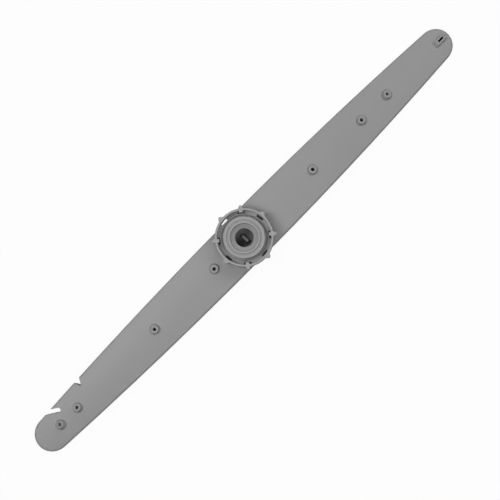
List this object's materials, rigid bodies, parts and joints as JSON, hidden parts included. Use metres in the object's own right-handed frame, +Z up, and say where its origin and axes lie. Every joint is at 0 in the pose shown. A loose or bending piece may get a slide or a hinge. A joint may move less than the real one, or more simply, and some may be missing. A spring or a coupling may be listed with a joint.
{
  "type": "dishwasher spray arm",
  "caption": "Long hollow plastic spray arm with rounded ends, raised jets along its centre line, two edge notches and a central inlet hub inside a turning lock ring.",
  "frame": {"origin": "on the hub's axis, level with the crest of the arm's top face under the hub", "axes": "+X along the arm towards the end with the slot nozzle, +Z up the hub's axis and out of the inlet, +Y across the arm towards the edge with the two notches"},
  "size_m": [0.5365, 0.0582, 0.0315],
  "materials": {
    "arm_plastic": "fine moulded satin",
    "hub_plastic": "fine moulded satin",
    "ring_plastic": "fine moulded satin",
    "washer_plastic": "smooth, self-lubricating"
  },
  "bodies": {
    "arm": {"upper_shell": "arm_plastic", "lower_shell": "arm_plastic", "hub_bush": "hub_plastic", "thrust_washer": "washer_plastic"},
    "lock_ring": {"lock_ring": "ring_plastic"}
  },
  "joints": [
    {"name": "lock_ring_turn", "type": "hinge", "parent": "arm", "child": "lock_ring", "pos_m": [0, 0, 0], "axis": [0, 0, 1], "continuous": true}
  ]
}
